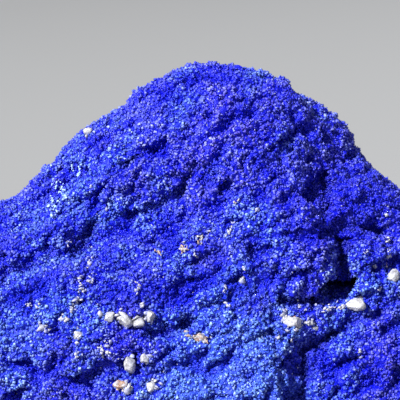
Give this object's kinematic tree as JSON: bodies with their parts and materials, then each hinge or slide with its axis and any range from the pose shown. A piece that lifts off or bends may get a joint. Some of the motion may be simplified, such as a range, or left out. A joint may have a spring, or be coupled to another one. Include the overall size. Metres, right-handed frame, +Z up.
{
  "type": "azurite specimen",
  "caption": "Rounded, pointed mound of crusty blue azurite with pale host-rock grains, broken flat underneath; stands on a shelf for display.",
  "frame": {"origin": "middle of the flat base, under the centre of the bounding box", "axes": "+Z up; -Y is the front, the best side; +X to the right of someone facing the front, along the specimen's length"},
  "size_m": [0.083, 0.0608, 0.0517],
  "materials": {
    "azurite": "rough, velvety crust of tiny glinting crystals",
    "pale_matrix": "dull, finely sugary host-rock grain",
    "stained_matrix": "dull host-rock grain with rusty yellow stains"
  },
  "bodies": {
    "root": {"azurite_mass": "azurite", "row_grain_1": "pale_matrix", "row_grain_2": "pale_matrix", "row_grain_3": "pale_matrix", "row_grain_4": "pale_matrix", "hollow_lip_grain": "pale_matrix", "right_edge_grain": "pale_matrix", "shelf_grain": "pale_matrix", "tall_low_grain": "pale_matrix", "round_low_grain": "pale_matrix", "yellow_low_grain": "stained_matrix", "foot_wedge_grain": "pale_matrix", "left_apron_grain": "pale_matrix", "crevice_grain": "stained_matrix", "left_shoulder_grain": "pale_matrix"}
  },
  "joints": []
}
